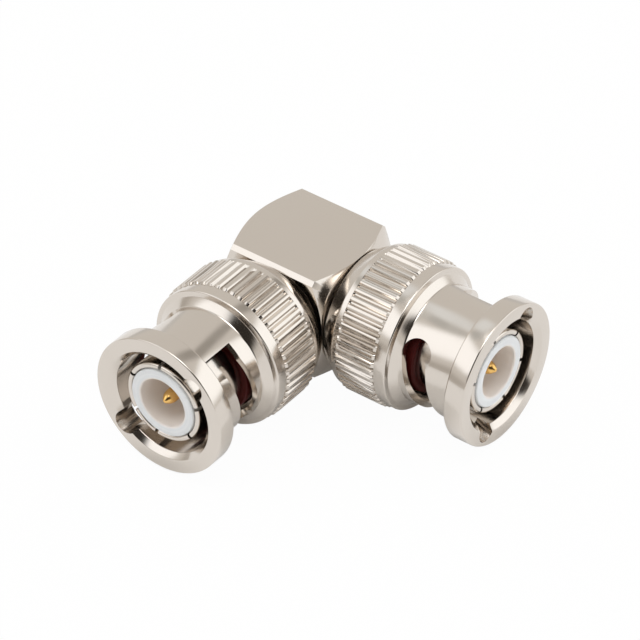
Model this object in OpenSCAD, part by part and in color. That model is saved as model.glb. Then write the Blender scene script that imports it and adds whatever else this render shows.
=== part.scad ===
// Right-angle coaxial adapter with a bayonet plug on each leg.
//
// Two identical plug sets are pressed into a square elbow block: the front one looks along -Y,
// the side one along +X. Each set is a slotted contact sleeve with its insulators, pin and gasket,
// and a coupling nut that turns and floats on the sleeve, held by a ring and backed by wave washers.
// Millimetres, +Z up. The part lies on its two knurled nuts, with the origin under its middle.

/* [Elbow block] */
// Width and height of the square bar
block_side = 11.6; // [10.6:0.1:14]
// Length of the bar along the side port
block_len = 12; // [11:0.1:16]
// Angle of the turned chamfer on both ends of the bar
end_chamfer_angle = 30; // [20:1:40]
// Width of the chamfer along the long edges of the bar
edge_chamfer = 0.42; // [0.2:0.02:0.8]
// Depth to which the side sleeve is sunk below the end of the bar
side_sink = 0.4; // [0:0.05:0.6]
// Thickness of the cap that closes the end opposite the side port
cap_t = 1; // [0.6:0.1:2]
// Width of the cap's seat around the cavity
cap_ledge = 1; // [0.5:0.1:1.4]

/* [Contact sleeve] */
// Outer diameter of the sprung contact, which closes a little as it enters the mating jack
contact_d = 8.5; // [8.1:0.01:8.6]
// Wall of the sprung contact
contact_wall = 0.6; // [0.4:0.05:0.7]
// Length of the contact from the gasket's seat to its rolled lip
contact_len = 6.4; // [5:0.05:8]
// Width of each slit between the fingers
slit_w = 0.34; // [0.2:0.02:0.5]
// Length of the slits
slit_len = 3.2; // [2:0.1:5]
// Sawn slits of the front sleeve, clockwise from the top as seen from its mouth
front_slits = [-4, 74, 129, 192, 235, 296]; // [-180:1:360]
// Sawn slits of the side sleeve, clockwise from the top as seen from its mouth
side_slits = [-11, 47, 105, 164, 222, 285]; // [-180:1:360]
// Step from the contact in to the gasket's seat
gasket_step = 0.2; // [0.1:0.05:0.3]
// Thickness of the flange that carries the gasket
flange_t = 1.1; // [0.6:0.1:2]
// Diameter of the neck on which the nut turns
neck_d = 8.3; // [8.1:0.05:8.5]
// Length of the neck from the block to the flange
neck_len = 7.85; // [7.6:0.05:10]
// Wall of the spigot that is pressed into the block
spigot_wall = 0.7; // [0.5:0.05:0.9]
// Length of the spigot
spigot_len = 2.05; // [1:0.05:2.1]
// Step from the sleeve's bore in to the bore of its spigot
bore_step = 0.75; // [0.6:0.05:0.9]

/* [Insulators and pins] */
// How far the insulator stands out of the sleeve's lip
insulator_lead = 0.05; // [0:0.05:0.8]
// Diameter of the insulator's open mouth
mouth_d = 5.1; // [4.6:0.02:5.4]
// Depth of the open mouth
mouth_depth = 6.4; // [5:0.1:8]
// Thickness of the insulator behind its mouth
insulator_base = 4.9; // [3:0.1:5]
// Length of the rear bead
bead_len = 3; // [1.5:0.1:3.8]
// Diameter of the centre pin
pin_d = 1.35; // [1.3:0.01:1.4]
// Diameter of the pin's root inside its insulators
pin_root_d = 1.7; // [1.66:0.02:2]
// How far the pin's tip stands in front of the sleeve's lip
pin_lead = -0.25; // [-0.6:0.05:0.2]
// Length of the pin's tapered tip
pin_taper = 0.95; // [0.5:0.05:1.2]
// Diameter of the blunt end of the tip
pin_tip_d = 0.26; // [0.1:0.02:0.5]
// Diameter of the shoulder that holds the pin between its two insulators
pin_shoulder_d = 2.6; // [2.2:0.1:3]
// Thickness of the shoulder
pin_shoulder_t = 0.5; // [0.3:0.05:1]
// Diameter of the boss in the corner that joins the two pins
corner_boss_d = 1.9; // [1.6:0.05:2.6]
// Diameter of the front pin's tail in the corner boss
pin_tail_d = 0.9; // [0.6:0.05:1.1]

/* [Coupling nut] */
// Diameter of the plain ring at the mouth
ring_d = 14.5; // [14:0.1:15]
// Width of the ring
ring_w = 2.05; // [1.6:0.05:3]
// Diameter of the counterbore behind the mouth, through which the slots are cut
recess_d = 10.6; // [10.2:0.05:10.8]
// Depth of the counterbore
recess_depth = 8.3; // [8.2:0.05:8.4]
// Coned lead-in at the edge of the counterbore
mouth_cone = 0.55; // [0.2:0.05:0.7]
// Bore that clears the mating jack
nut_bore_d = 9.86; // [9.8:0.02:10.1]
// Outer diameter of the slotted barrel
barrel_d = 11.9; // [11.4:0.1:12.6]
// Length of the barrel between the ring and the collar
barrel_len = 6.75; // [6.6:0.05:9]
// Length of the cone that runs from the barrel up to the collar's step
step_len = 0.65; // [0.2:0.05:0.8]
// Diameter of the step in the collar's front
step_d = 13.4; // [12.4:0.1:13.6]
// How far the collar's front leans forward from its rim to the step
collar_lean = 0.1; // [0.05:0.05:0.4]
// Diameter of the smooth bands in front of the knurl and behind it
band_d = 14.5; // [14:0.05:14.8]
// Width of the band in front of the knurl
band_w = 1.3; // [0.6:0.05:2]
// Width of the band behind the knurl
rim_w = 0.5; // [0.2:0.05:1]
// Diameter over the knurled ridges
knurl_d = 15; // [14.9:0.05:15.6]
// Length of the knurl
knurl_len = 4.3; // [3:0.1:6]
// Depth of the grooves between the ridges
knurl_depth = 0.38; // [0.3:0.01:0.5]
// Number of ridges
knurl_count = 52; // [40:4:60]
// Share of each ridge's pitch that is groove
groove_share = 0.6; // [0.2:0.02:0.6]
// Length of the cone behind the knurl
cone_len = 1.7; // [1:0.1:2]
// Diameter of the rear face
rear_d = 12.2; // [11.6:0.1:12.4]
// Thickness of the inner lip that rides on the neck
lip_t = 3.2; // [2:0.1:3.5]
// Depth of the recess behind the lip
rear_recess = 1.7; // [1.2:0.05:1.9]

/* [Bayonet cam] */
// Wall left in the ring outside the round floor of each entry notch
notch_wall = 0.5; // [0.4:0.05:1]
// Width of the entry notches
notch_w = 2.4; // [2.2:0.02:2.6]
// Angle at which the floor of the notches runs inwards, down to the barrel
notch_ramp = 17; // [14:0.5:18]
// Distance from the ring's mouth to the middle of the cam at its start
cam_start = 5.13; // [4.6:0.01:5.4]
// Width of the cam slot along the axis
cam_w = 2.64; // [2.2:0.02:2.8]
// How far the cam draws back along its sweep
cam_draw = 1.6; // [1:0.05:1.7]
// Sweep of the cam from its entry to the detent hole
cam_sweep = 86; // [75:1:92]
// Diameter of the detent hole
detent_d = 3.1; // [2.8:0.05:3.3]
// How far the detent hole stands forward of the end of the cam
detent_lead = 0.23; // [0:0.01:0.4]
// Turn of the front nut, from the top to its entry, clockwise as seen from its mouth
front_nut_turn = 45; // [0:1:180]
// Turn of the side nut, from the top to its entry, clockwise as seen from its mouth
side_nut_turn = 31; // [0:1:180]

/* [Nut hardware] */
// Thickness of the two flat washers
washer_t = 0.32; // [0.2:0.02:0.4]
// Thickness of the strip of the wave washers
wave_t = 0.2; // [0.15:0.01:0.25]
// Number of waves round a wave washer
wave_count = 3; // [2:1:4]
// Thickness of the retaining ring
snap_t = 0.62; // [0.4:0.02:0.8]
// Diameter over the retaining ring
snap_d = 10.1; // [9.6:0.1:10.3]
// Depth of the groove that the retaining ring sits in
snap_groove = 0.3; // [0.2:0.02:0.35]
// Distance from the block to the groove of the retaining ring
snap_back = 1.57; // [1:0.01:1.8]
// Opening of the retaining ring
snap_gap = 46; // [20:1:90]
// Thickness of the gasket
gasket_t = 1.15; // [0.8:0.05:1.2]
// How far the front nut stands forward of its rear stop
front_float = 0; // [0:0.05:0.5]
// How far the side nut stands forward of its rear stop
side_float = 0.2; // [0:0.05:0.5]

/* [Clearances] */
// Gap between pressed or stacked pieces
press_gap = 0.02; // [0.01:0.01:0.04]
// Gap between an insulator and the metal round it
insulator_gap = 0.04; // [0.02:0.01:0.06]
// Gap between the nut and what turns inside it
turn_gap = 0.1; // [0.06:0.01:0.14]
// Small chamfer that breaks an outer edge
edge_break = 0.15; // [0.05:0.05:0.2]

/* [Hidden] */
$fn = 96;
nickel = [0.78, 0.75, 0.71];
spring_steel = [0.6, 0.6, 0.6];
gold = [0.86, 0.65, 0.27];
ptfe = [0.92, 0.93, 0.94];
silicone = [0.32, 0.05, 0.04];
// A cutter reaches this far past the face that it opens
past = 1;
// Facets of the curved sweeps
cam_steps = 22;
wave_steps = 60;

// Sleeve, measured along its axis from the shoulder that sits on the block
flange_back = neck_len;
flange_front = flange_back + flange_t;
gasket_seat_front = flange_front + gasket_t + press_gap;
lip_front = gasket_seat_front + contact_len;
contact_r = contact_d / 2;
sleeve_bore_r = contact_r - contact_wall;
neck_r = neck_d / 2;
spigot_bore_r = sleeve_bore_r - bore_step;
spigot_r = spigot_bore_r + spigot_wall;
nut_bore_r = nut_bore_d / 2;
flange_r = nut_bore_r - turn_gap;
gasket_seat_r = contact_r - gasket_step;
insulator_front = lip_front + insulator_lead;
mouth_floor = insulator_front - mouth_depth;
insulator_back = mouth_floor - insulator_base;
pin_tip = lip_front + pin_lead;
shoulder_front = insulator_back - press_gap;
shoulder_back = shoulder_front - pin_shoulder_t;
bead_front = shoulder_back - press_gap;
snap_front = snap_back + snap_t;
// The nut's lip stops this far in front of the retaining ring
stop_gap = 0.08;

// Nut, measured along its axis from its rear face
lip_back_z = rear_recess;
lip_front_z = lip_back_z + lip_t;
knurl_z = cone_len + rim_w;
band_z = knurl_z + knurl_len;
collar_z = band_z + band_w;
ring_z = collar_z + barrel_len;
nut_len = ring_z + ring_w;

// Places along each port's axis, measured from the crossing of the two axes
front_seat = block_side / 2;
side_seat = block_len / 2 - side_sink;
front_nut_back = front_seat + snap_front + stop_gap + front_float - lip_back_z;
side_nut_back = side_seat + snap_front + stop_gap + side_float - lip_back_z;
crossing = [
    (knurl_d / 2 - side_nut_back - nut_len) / 2,
    (front_nut_back + nut_len - knurl_d / 2) / 2,
    knurl_d / 2
];

// Puts children on a port's axis: +Z out of the mouth, +Y up, origin at the crossing of the axes
module on_port(side) {
    translate(crossing)
        rotate([90, 0, side ? 90 : 0])
            children();
}

// Puts children on a port's axis with the origin on the sleeve's shoulder
module on_sleeve(side) {
    on_port(side)
        translate([0, 0, side ? side_seat : front_seat])
            children();
}

// Direction at an angle clockwise from the top, as seen from the mouth
function clock(a) = [sin(a), cos(a)];

// A point at a radius, an angle and a height
function around(r, a, z) = [r * clock(a)[0], r * clock(a)[1], z];

// The band of faces between two neighbouring four-point sections
function side_faces(i, j) = [
    for (k = [0 : 3])
        let (n = (k + 1) % 4)
            each [
                [4 * i + n, 4 * i + k, 4 * j + k],
                [4 * i + n, 4 * j + k, 4 * j + n]
            ]
];

// A flat ring
module washer(r_in, r_out, t) {
    difference() {
        cylinder(r = r_out, h = t);
        translate([0, 0, -past])
            cylinder(r = r_in, h = t + 2 * past);
    }
}

// Square bar with chamfered long edges and both ends turned to a cone
module bar() {
    half = block_side / 2;
    reach = half * sqrt(2);
    run = (reach - half) * tan(end_chamfer_angle);
    intersection() {
        rotate([90, 0, 90])
            linear_extrude(block_len, center = true)
                polygon([
                    for (q = [0 : 3])
                        for (e = [[half, half - edge_chamfer], [half - edge_chamfer, half]])
                            [
                                e[0] * cos(90 * q) - e[1] * sin(90 * q),
                                e[0] * sin(90 * q) + e[1] * cos(90 * q)
                            ]
                ]);
        rotate([0, 90, 0])
            rotate_extrude()
                polygon([
                    [0, -block_len / 2],
                    [half, -block_len / 2],
                    [reach, -block_len / 2 + run],
                    [reach, block_len / 2 - run],
                    [half, block_len / 2],
                    [0, block_len / 2]
                ]);
    }
}

// Stepped bore for a sleeve, in the frame of its shoulder
module sleeve_bore() {
    cylinder(r = neck_r + press_gap, h = block_len);
    translate([0, 0, -spigot_len - press_gap])
        cylinder(r = spigot_r + press_gap, h = spigot_len + past);
}

module elbow_block() {
    cap_r = spigot_bore_r + cap_ledge;
    color(nickel)
        difference() {
            translate(crossing)
                bar();
            on_sleeve(false)
                sleeve_bore();
            on_sleeve(true)
                sleeve_bore();
            on_port(false)
                cylinder(r = spigot_bore_r, h = block_side);
            translate(crossing)
                rotate([0, 90, 0])
                    translate([0, 0, -block_len / 2 - past])
                        cylinder(r = spigot_bore_r, h = block_len + 2 * past);
            translate(crossing)
                rotate([0, -90, 0])
                    translate([0, 0, block_len / 2 - cap_t])
                        cylinder(r = cap_r, h = cap_t + past);
        }
}

// Disc pressed into the end of the bar after the pins are soldered
module end_cap() {
    cap_r = spigot_bore_r + cap_ledge - press_gap;
    color(nickel)
        translate(crossing)
            rotate([0, -90, 0])
                translate([0, 0, block_len / 2 - cap_t])
                    rotate_extrude()
                        polygon([
                            [0, 0],
                            [cap_r, 0],
                            [cap_r, cap_t - edge_break],
                            [cap_r - edge_break, cap_t],
                            [0, cap_t]
                        ]);
}

// Turned sleeve: rolled lip and sprung fingers, gasket seat, flange, neck and spigot
module contact_sleeve(side, slits) {
    lip_r = contact_wall / 2;
    groove_r = neck_r - snap_groove;
    color(nickel)
        on_sleeve(side)
            difference() {
                rotate_extrude()
                    union() {
                        polygon([
                            [spigot_bore_r, -spigot_len],
                            [spigot_r, -spigot_len],
                            [spigot_r, 0],
                            [neck_r, 0],
                            [neck_r, snap_back - press_gap],
                            [groove_r, snap_back - press_gap],
                            [groove_r, snap_front + press_gap],
                            [neck_r, snap_front + press_gap],
                            [neck_r, flange_back],
                            [flange_r, flange_back],
                            [flange_r, flange_front],
                            [gasket_seat_r, flange_front],
                            [gasket_seat_r, gasket_seat_front],
                            [contact_r, gasket_seat_front],
                            [contact_r, lip_front - lip_r],
                            [sleeve_bore_r, lip_front - lip_r],
                            [sleeve_bore_r, insulator_back],
                            [spigot_bore_r, insulator_back]
                        ]);
                        translate([contact_r - lip_r, lip_front - lip_r])
                            circle(r = lip_r);
                    }
                for (slit = slits)
                    rotate([0, 0, -slit])
                        translate([-slit_w / 2, 0, lip_front - slit_len])
                            cube([slit_w, contact_r + past, slit_len + past]);
            }
}

// White insulator with an open mouth round the pin
module insulator(side) {
    outer_r = sleeve_bore_r - insulator_gap;
    color(ptfe)
        on_sleeve(side)
            rotate_extrude()
                polygon([
                    [pin_root_d / 2 + insulator_gap, insulator_back],
                    [outer_r, insulator_back],
                    [outer_r, insulator_front - edge_break],
                    [outer_r - edge_break, insulator_front],
                    [mouth_d / 2 + edge_break, insulator_front],
                    [mouth_d / 2, insulator_front - edge_break],
                    [mouth_d / 2, mouth_floor],
                    [pin_root_d / 2 + insulator_gap, mouth_floor]
                ]);
}

// Bead behind the pin's shoulder
module rear_bead(side) {
    color(ptfe)
        on_sleeve(side)
            translate([0, 0, bead_front - bead_len])
                washer(pin_root_d / 2 + insulator_gap, spigot_bore_r - insulator_gap, bead_len);
}

// Turned pin from its tapered tip back to a given place on the port's axis
module pin_body(side, back) {
    seat = side ? side_seat : front_seat;
    r = pin_d / 2;
    root_r = pin_root_d / 2;
    on_port(side)
        rotate_extrude()
            polygon([
                [0, back],
                [root_r, back],
                [root_r, seat + shoulder_back],
                [pin_shoulder_d / 2, seat + shoulder_back],
                [pin_shoulder_d / 2, seat + shoulder_front],
                [root_r, seat + shoulder_front],
                [root_r, seat + mouth_floor],
                [r, seat + mouth_floor],
                [r, seat + pin_tip - pin_taper],
                [pin_tip_d / 2, seat + pin_tip],
                [0, seat + pin_tip]
            ]);
}

// Pin of the front port, with the tail that passes through the corner boss
module front_pin() {
    boss_r = corner_boss_d / 2;
    color(gold) {
        pin_body(false, boss_r + press_gap);
        on_port(false)
            translate([0, 0, -boss_r])
                cylinder(d = pin_tail_d, h = corner_boss_d + 2 * press_gap);
    }
}

// Pin of the side port, with the drilled corner boss
module side_pin() {
    boss_r = corner_boss_d / 2;
    color(gold)
        difference() {
            union() {
                pin_body(true, 0);
                on_port(true)
                    translate([0, 0, -boss_r])
                        cylinder(d = corner_boss_d, h = corner_boss_d);
            }
            on_port(false)
                cylinder(r = pin_tail_d / 2 + press_gap, h = corner_boss_d + 2 * past, center = true);
        }
}

// Soft ring at the bottom of the contact
module gasket(side) {
    color(silicone)
        on_sleeve(side)
            translate([0, 0, flange_front])
                washer(gasket_seat_r + press_gap, flange_r, gasket_t);
}

// Flat washer that the wave washers push against the flange
module flange_washer(side) {
    color(spring_steel)
        on_sleeve(side)
            translate([0, 0, flange_back - press_gap - washer_t])
                washer(neck_r + turn_gap, flange_r, washer_t);
}

// Flat washer on which the nut's lip turns
module thrust_washer(side) {
    nut_back = side ? side_nut_back : front_nut_back;
    color(spring_steel)
        on_port(side)
            translate([0, 0, nut_back + lip_front_z + press_gap])
                washer(neck_r + turn_gap, flange_r, washer_t);
}

// One of the two wave washers, crest to crest, between the flat washers
module wave_washer(side, upper) {
    seat = side ? side_seat : front_seat;
    nut_back = side ? side_nut_back : front_nut_back;
    low = nut_back + lip_front_z + washer_t + 2 * press_gap;
    high = seat + flange_back - washer_t - 2 * press_gap;
    room = (high - low) / 2;
    swing = (room - wave_t) / 2 - press_gap;
    middle = low + room * (upper ? 1.5 : 0.5);
    r_in = neck_r + turn_gap;
    sections = [
        for (i = [0 : wave_steps - 1])
            let (a = 360 * i / wave_steps)
            let (z = middle + swing * (upper ? 1 : -1) * cos(wave_count * a))
                each [
                    around(r_in, a, z - wave_t / 2),
                    around(flange_r, a, z - wave_t / 2),
                    around(flange_r, a, z + wave_t / 2),
                    around(r_in, a, z + wave_t / 2)
                ]
    ];
    color(spring_steel)
        on_port(side)
            polyhedron(sections, [
                for (i = [0 : wave_steps - 1])
                    each side_faces(i, (i + 1) % wave_steps)
            ]);
}

// Open ring in the groove of the neck, on which the nut's lip stops
module retaining_ring(side) {
    color(spring_steel)
        on_sleeve(side)
            translate([0, 0, snap_back])
                difference() {
                    washer(neck_r - snap_groove + press_gap, snap_d / 2, snap_t);
                    translate([0, 0, -past])
                        linear_extrude(snap_t + 2 * past)
                            polygon([
                                [0, 0],
                                snap_d * clock(180 - snap_gap / 2),
                                snap_d * clock(180 + snap_gap / 2)
                            ]);
                }
}

// Half profile of the nut's outside, from its rear face forwards
module nut_outside() {
    rear_r = rear_d / 2;
    band_r = band_d / 2;
    barrel_r = barrel_d / 2;
    ring_r = ring_d / 2;
    step_z = collar_z + collar_lean;
    polygon([
        [0, 0],
        [rear_r - edge_break, 0],
        [rear_r, edge_break],
        [band_r, cone_len],
        [band_r, knurl_z],
        [rear_r, knurl_z],
        [rear_r, band_z],
        [band_r, band_z],
        [band_r, collar_z - edge_break],
        [band_r - edge_break, collar_z],
        [step_d / 2, step_z],
        [barrel_r, step_z + step_len],
        [barrel_r, ring_z],
        [ring_r - edge_break, ring_z],
        [ring_r, ring_z + edge_break],
        [ring_r, nut_len - edge_break],
        [ring_r - edge_break, nut_len],
        [0, nut_len]
    ]);
}

// Half profile of the nut's bores
module nut_inside() {
    lip_bore_r = neck_r + turn_gap;
    rear_bore_r = snap_d / 2 + 2 * turn_gap;
    recess_z = nut_len - recess_depth;
    polygon([
        [0, -past],
        [rear_bore_r, -past],
        [rear_bore_r, lip_back_z],
        [lip_bore_r, lip_back_z],
        [lip_bore_r, lip_front_z],
        [nut_bore_r, lip_front_z],
        [nut_bore_r, recess_z],
        [recess_d / 2, recess_z],
        [recess_d / 2, nut_len - mouth_cone],
        [recess_d / 2 + mouth_cone + past, nut_len + past],
        [0, nut_len + past]
    ]);
}

// Straight knurl: ridges with chamfered ends, parted by tapered grooves
module knurl() {
    pitch = 360 / knurl_count;
    ridge_r = knurl_d / 2;
    floor_r = ridge_r - knurl_depth;
    outer_r = ridge_r + edge_break;
    floor_half = pitch * groove_share / 8;
    flank = pitch * groove_share / 2 - floor_half;
    mouth_half = floor_half + flank * (outer_r - floor_r) / knurl_depth;
    intersection() {
        rotate_extrude()
            polygon([
                [0, 0],
                [ridge_r - edge_break, 0],
                [ridge_r, edge_break],
                [ridge_r, knurl_len - edge_break],
                [ridge_r - edge_break, knurl_len],
                [0, knurl_len]
            ]);
        linear_extrude(knurl_len)
            polygon([
                for (i = [0 : knurl_count - 1])
                    let (a = (i + 0.5) * pitch)
                        each [
                            outer_r * clock(a - mouth_half),
                            floor_r * clock(a - floor_half),
                            floor_r * clock(a + floor_half),
                            outer_r * clock(a + mouth_half)
                        ]
            ]);
    }
}

// Cutter for one entry notch, its helical cam slot and the detent hole at the slot's end
module cam_cutter() {
    r_in = nut_bore_r - past;
    r_out = barrel_d / 2 + past;
    start_z = nut_len - cam_start;
    entry_half = asin((notch_w + 2 * press_gap) / barrel_d);
    notch_mid = (ring_d - notch_w) / 2 - notch_wall;
    notch_side = notch_w / 2 - press_gap;
    dwell = entry_half / 2;
    sections = [
        for (i = [0 : cam_steps])
            let (a = -entry_half + (cam_sweep + entry_half) * i / cam_steps)
            let (z = start_z - cam_draw * max(0, a - dwell) / (cam_sweep - dwell))
                each [
                    around(r_in, a, z - cam_w / 2),
                    around(r_out, a, z - cam_w / 2),
                    around(r_out, a, z + cam_w / 2),
                    around(r_in, a, z + cam_w / 2)
                ]
    ];
    end = 4 * cam_steps;
    polyhedron(sections, concat(
        [[0, 1, 2, 3], [end + 3, end + 2, end + 1, end]],
        [for (i = [0 : cam_steps - 1]) each side_faces(i, i + 1)]
    ));
    translate([-notch_w / 2, 0, start_z])
        cube([notch_w, barrel_d / 2 + turn_gap, cam_start - ring_w + edge_break]);
    translate([0, notch_mid, nut_len])
        rotate([-notch_ramp, 0, 0])
            translate([0, 0, -ring_w - past])
                linear_extrude(ring_w + 2 * past)
                    union() {
                        translate([-notch_side, -notch_mid])
                            square([2 * notch_side, notch_mid]);
                        circle(d = notch_w - press_gap);
                    }
    rotate([0, 0, -cam_sweep])
        translate([0, 0, start_z - cam_draw + detent_lead])
            rotate([-90, 0, 0])
                cylinder(d = detent_d, h = r_out);
}

// Knurled nut with a bayonet ring, two cam slots and the lip that rides on the neck
module coupling_nut(side, turn) {
    nut_back = side ? side_nut_back : front_nut_back;
    color(nickel)
        on_port(side)
            translate([0, 0, nut_back])
                difference() {
                    union() {
                        rotate_extrude()
                            nut_outside();
                        translate([0, 0, knurl_z])
                            knurl();
                    }
                    rotate_extrude()
                        nut_inside();
                    for (half_turn = [0, 180])
                        rotate([0, 0, half_turn - turn])
                            cam_cutter();
                }
}

elbow_block();
end_cap();
contact_sleeve(false, front_slits);  // front_contact_sleeve
insulator(false);  // front_insulator
rear_bead(false);  // front_rear_bead
front_pin();
gasket(false);  // front_gasket
flange_washer(false);  // front_flange_washer
wave_washer(false, false);  // front_wave_washer_1
wave_washer(false, true);  // front_wave_washer_2
thrust_washer(false);  // front_thrust_washer
retaining_ring(false);  // front_retaining_ring
coupling_nut(false, front_nut_turn);  // front_coupling_nut
contact_sleeve(true, side_slits);  // side_contact_sleeve
insulator(true);  // side_insulator
rear_bead(true);  // side_rear_bead
side_pin();
gasket(true);  // side_gasket
flange_washer(true);  // side_flange_washer
wave_washer(true, false);  // side_wave_washer_1
wave_washer(true, true);  // side_wave_washer_2
thrust_washer(true);  // side_thrust_washer
retaining_ring(true);  // side_retaining_ring
coupling_nut(true, side_nut_turn);  // side_coupling_nut
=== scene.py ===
"""Right-angle coaxial adapter with a bayonet plug on each leg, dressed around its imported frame.

Sizes are millimetres on a port's own axis: +Z out of the mouth, +Y up, and the origin where the two
axes cross. A port's matrix takes them to metres in the frame.
"""

import logging
import math
from collections.abc import Callable, Sequence
from dataclasses import dataclass, field
from enum import Enum
from typing import Any

import bmesh
import bpy
from mathutils import Euler, Matrix, Vector


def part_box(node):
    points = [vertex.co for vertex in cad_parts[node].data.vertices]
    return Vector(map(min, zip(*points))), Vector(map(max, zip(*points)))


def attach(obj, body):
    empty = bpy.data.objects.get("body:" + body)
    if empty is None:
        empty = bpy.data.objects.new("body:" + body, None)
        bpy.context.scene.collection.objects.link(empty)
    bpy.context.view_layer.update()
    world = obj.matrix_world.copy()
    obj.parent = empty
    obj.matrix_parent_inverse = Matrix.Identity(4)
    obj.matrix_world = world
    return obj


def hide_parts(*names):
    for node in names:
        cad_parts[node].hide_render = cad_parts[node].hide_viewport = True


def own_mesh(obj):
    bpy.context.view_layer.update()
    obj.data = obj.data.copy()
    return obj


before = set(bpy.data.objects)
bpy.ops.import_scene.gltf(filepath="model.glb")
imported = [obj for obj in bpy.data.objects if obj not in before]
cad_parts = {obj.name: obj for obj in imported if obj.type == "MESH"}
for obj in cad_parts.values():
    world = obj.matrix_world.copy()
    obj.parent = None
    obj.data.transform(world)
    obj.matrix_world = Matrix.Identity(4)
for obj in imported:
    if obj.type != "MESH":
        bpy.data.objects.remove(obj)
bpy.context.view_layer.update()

Material = bpy.types.Material
Piece = bpy.types.Object
Socket = bpy.types.NodeSocket
Solid = bmesh.types.BMesh
Tree = bpy.types.NodeTree

log = logging.getLogger("coax_adapter")

# A millimetre in metres, the unit of the frame.
MM = 0.001
# Points nearer than this many millimetres are one point.
WELD = 1e-4
# Edges that turn by more than this many degrees stay sharp.
CREASE = 32.0
# How far a cutter reaches past what it cuts, in millimetres.
PAST = 1.0
# Facets across a rounding and across an eased edge, and round a drill.
ROUND_FACETS = 4
EASE_FACETS = 2
DRILL_FACETS = 96


class Port(Enum):
    """The two legs of the adapter."""

    FRONT = "front"
    SIDE = "side"

    @property
    def crossing(self) -> Vector:
        """Where the two axes cross, in metres: the middle of the square bar."""
        low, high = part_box("elbow_block")
        return (low + high) / 2

    @property
    def turn(self) -> Euler:
        """Turn from the port's own axes to those of the frame."""
        return Euler((math.pi / 2, 0.0, math.pi / 2 if self is Port.SIDE else 0.0))

    @property
    def matrix(self) -> Matrix:
        """Takes millimetres on the port's axis to metres in the frame."""
        turn = self.turn.to_matrix().to_4x4()
        return Matrix.Translation(self.crossing) @ turn @ Matrix.Scale(MM, 4)

    @property
    def nut_body(self) -> str:
        """Name of the body that the port's nut rides on."""
        return f"{self.value}_nut"

    def node(self, part: str) -> str:
        """Name of the CAD node of one of the port's parts."""
        return f"{self.value}_{part}"

    def reach(self, node: str) -> tuple[float, float]:
        """Finds where a CAD node starts and ends along the port's axis.

        Args:
            node: Name of the CAD node.

        Returns:
            The nearest and farthest millimetre from the crossing.
        """
        inverse = self.matrix.inverted()
        ends = [(inverse @ corner).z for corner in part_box(node)]
        return min(ends), max(ends)


class Carve(Enum):
    """What a tool does to the piece that it meets."""

    CUT = "DIFFERENCE"
    TRIM = "INTERSECT"


@dataclass(frozen=True)
class Corner:
    """One corner of a turned profile.

    Attributes:
        radius: Distance from the axis.
        height: Distance along the axis.
        rounding: Distance from the corner at which its rounding starts.
    """

    radius: float
    height: float
    rounding: float = 0.0


def turn_profile(corners: Sequence[Corner], steps: int = 192) -> Solid:
    """Turns a profile round the axis, as on a lathe.

    Args:
        corners: The closed profile, or an open one whose two ends lie on the axis.
        steps: Number of facets round the axis.

    Returns:
        A closed solid in millimetres.
    """
    bm = bmesh.new()
    points = [bm.verts.new((corner.radius, 0.0, corner.height)) for corner in corners]
    for start, end in zip(points, points[1:] + points[:1]):
        if start.co.x or end.co.x:
            bm.edges.new((start, end))
    for rounding in sorted({corner.rounding for corner in corners} - {0.0}):
        rounded = [point for point, corner in zip(points, corners) if corner.rounding == rounding]
        bmesh.ops.bevel(
            bm, geom=rounded, offset=rounding, offset_type="OFFSET", affect="VERTICES",
            segments=ROUND_FACETS, profile=0.5, material=-1,
        )
    bmesh.ops.spin(
        bm, geom=bm.verts[:] + bm.edges[:], cent=(0, 0, 0), axis=(0, 0, 1), angle=math.tau,
        steps=steps, use_merge=True, use_duplicate=False,
    )
    bmesh.ops.remove_doubles(bm, verts=bm.verts[:], dist=WELD)
    bmesh.ops.recalc_face_normals(bm, faces=bm.faces[:])
    return bm


def saw_block(low: Sequence[float], high: Sequence[float]) -> Solid:
    """Makes a straight-sided tool between two corners.

    Args:
        low: Lowest corner.
        high: Highest corner.

    Returns:
        A box in millimetres.
    """
    bm = bmesh.new()
    bmesh.ops.create_cube(bm, size=1.0)
    size = Vector(high) - Vector(low)
    bmesh.ops.scale(bm, vec=size, verts=bm.verts[:])
    bmesh.ops.translate(bm, vec=Vector(low) + size / 2, verts=bm.verts[:])
    return bm


def drill(radius: float, length: float, place: Matrix) -> Solid:
    """Makes a round tool that starts at the origin of a place and runs along its +Z.

    Args:
        radius: Radius of the drill.
        length: Length of the drill.
        place: Where the drill stands.

    Returns:
        A cylinder in millimetres.
    """
    bm = bmesh.new()
    bmesh.ops.create_cone(
        bm, cap_ends=True, segments=DRILL_FACETS, radius1=radius, radius2=radius, depth=length,
        matrix=place @ Matrix.Translation((0, 0, length / 2)),
    )
    return bm


def add_object(name: str, bm: Solid) -> Piece:
    """Makes an object of a mesh and frees the mesh.

    Args:
        name: Name of the object.
        bm: Its mesh.

    Returns:
        The new object, linked to the scene.
    """
    mesh = bpy.data.meshes.new(name)
    bm.to_mesh(mesh)
    bm.free()
    made = bpy.data.objects.new(name, mesh)
    bpy.context.scene.collection.objects.link(made)
    return made


def carve(piece: Piece, tool: Solid, action: Carve = Carve.CUT) -> None:
    """Cuts or trims a piece with a tool, and leaves the result in the piece's mesh.

    Args:
        piece: The piece.
        tool: A closed solid, which is freed.
        action: Whether the tool is taken away from the piece or the piece is trimmed to it.
    """
    cutter = add_object("tool", tool)
    step = piece.modifiers.new("carve", "BOOLEAN")
    step.solver = "MANIFOLD"
    step.operation = action.value
    step.object = cutter
    evaluated = piece.evaluated_get(bpy.context.evaluated_depsgraph_get())
    before, piece.data = piece.data, bpy.data.meshes.new_from_object(evaluated)
    piece.modifiers.remove(step)
    for mesh in (before, cutter.data):
        bpy.data.meshes.remove(mesh)


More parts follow.
